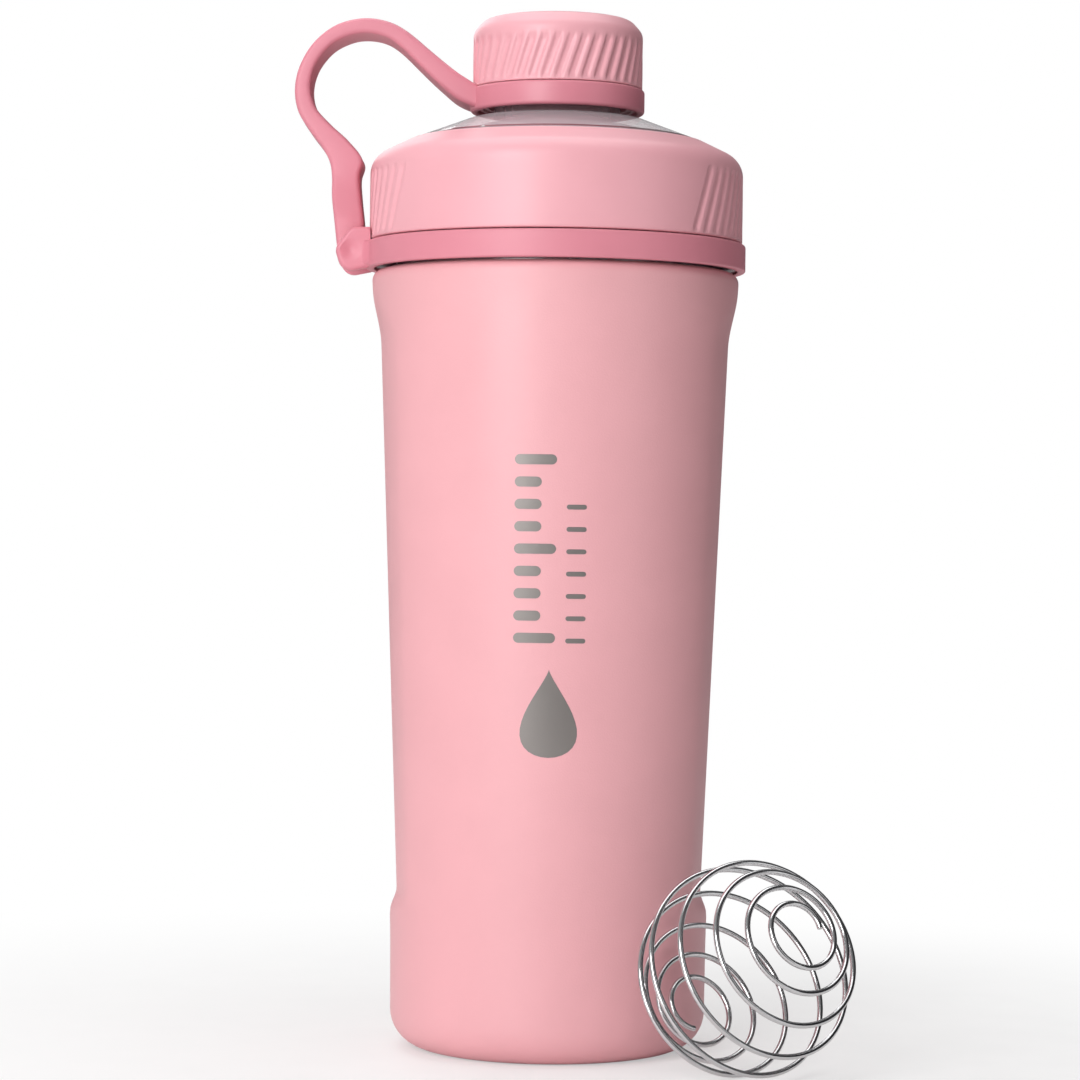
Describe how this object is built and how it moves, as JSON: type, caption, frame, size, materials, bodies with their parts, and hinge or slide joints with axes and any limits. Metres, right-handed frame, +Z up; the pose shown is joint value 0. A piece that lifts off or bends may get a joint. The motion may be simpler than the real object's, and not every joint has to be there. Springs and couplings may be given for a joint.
{
  "type": "protein shaker bottle",
  "caption": "Insulated shaker bottle with a screw lid, clear dome, threaded spout cap, swivelling carry loop and a loose wire whisk ball.",
  "frame": {"origin": "centre of the bottle's flat underside, in the plane it stands on", "axes": "+Z up along the bottle's axis; the carry loop is hinged on the -X side; the whisk ball lies towards -Y, the side the bottle is normally seen from"},
  "size_m": [0.131, 0.116, 0.244],
  "materials": {
    "powder_coat": "fine powder coat over stainless steel",
    "liner_steel": "electropolished stainless steel",
    "bottom_steel": "brushed stainless steel",
    "getter_metal": "sintered getter pellet",
    "clear_plastic": "clear polished plastic",
    "collar_plastic": "smooth matte moulding",
    "seal_silicone": "translucent silicone",
    "cap_plastic": "smooth matte moulding",
    "core_plastic": "plain moulding",
    "gasket_silicone": "translucent silicone",
    "ring_plastic": "smooth matte moulding",
    "pin_plastic": "plain moulding",
    "loop_elastomer": "matte thermoplastic elastomer",
    "whisk_steel": "polished stainless spring wire"
  },
  "bodies": {
    "bottle": {"outer_shell": "powder_coat", "inner_liner": "liner_steel", "outer_bottom": "bottom_steel", "vacuum_getter": "getter_metal"},
    "lid_seal": {"lid_seal": "seal_silicone"},
    "lid": {"lid_body": "clear_plastic", "lid_collar": "collar_plastic"},
    "cap_gasket": {"cap_gasket": "gasket_silicone"},
    "cap": {"spout_cap": "cap_plastic", "cap_core": "core_plastic"},
    "ring": {"carry_ring": "ring_plastic", "hinge_pin": "pin_plastic"},
    "loop": {"carry_loop": "loop_elastomer"},
    "whisk": {"whisk_ball": "whisk_steel"}
  },
  "joints": [
    {"name": "lid_lift", "type": "slide", "parent": "bottle", "child": "lid_seal", "axis": [0, 0, 1], "range_m": [0, 0.0361]},
    {"name": "lid_turn", "type": "hinge", "parent": "lid_seal", "child": "lid", "pos_m": [0, 0, 0.195], "axis": [0, 0, 1], "range_deg": [0, 1080]},
    {"name": "cap_lift", "type": "slide", "parent": "lid", "child": "cap_gasket", "axis": [0, 0, 1], "range_m": [0, 0.0302]},
    {"name": "cap_turn", "type": "hinge", "parent": "cap_gasket", "child": "cap", "pos_m": [0, 0, 0.232], "axis": [0, 0, 1], "range_deg": [0, 1800]},
    {"name": "ring_swivel", "type": "hinge", "parent": "lid", "child": "ring", "pos_m": [0, 0, 0.1875], "axis": [0, 0, 1], "continuous": true},
    {"name": "loop_swing", "type": "hinge", "parent": "ring", "child": "loop", "pos_m": [-0.0487, 0, 0.1886], "axis": [0, -1, 0], "range_deg": [0, 150], "deforming": ["carry_loop"]},
    {"name": "whisk_pick_up", "type": "slide", "parent": "bottle", "child": "whisk", "axis": [0.5, -0.55, 0.669], "range_m": [0, 0.08]}
  ],
  "couplings": [
    {"joint": "lid_lift", "follows": "lid_turn", "m_per_rad": 0.0019099},
    {"joint": "cap_lift", "follows": "cap_turn", "m_per_rad": 0.00095493}
  ]
}
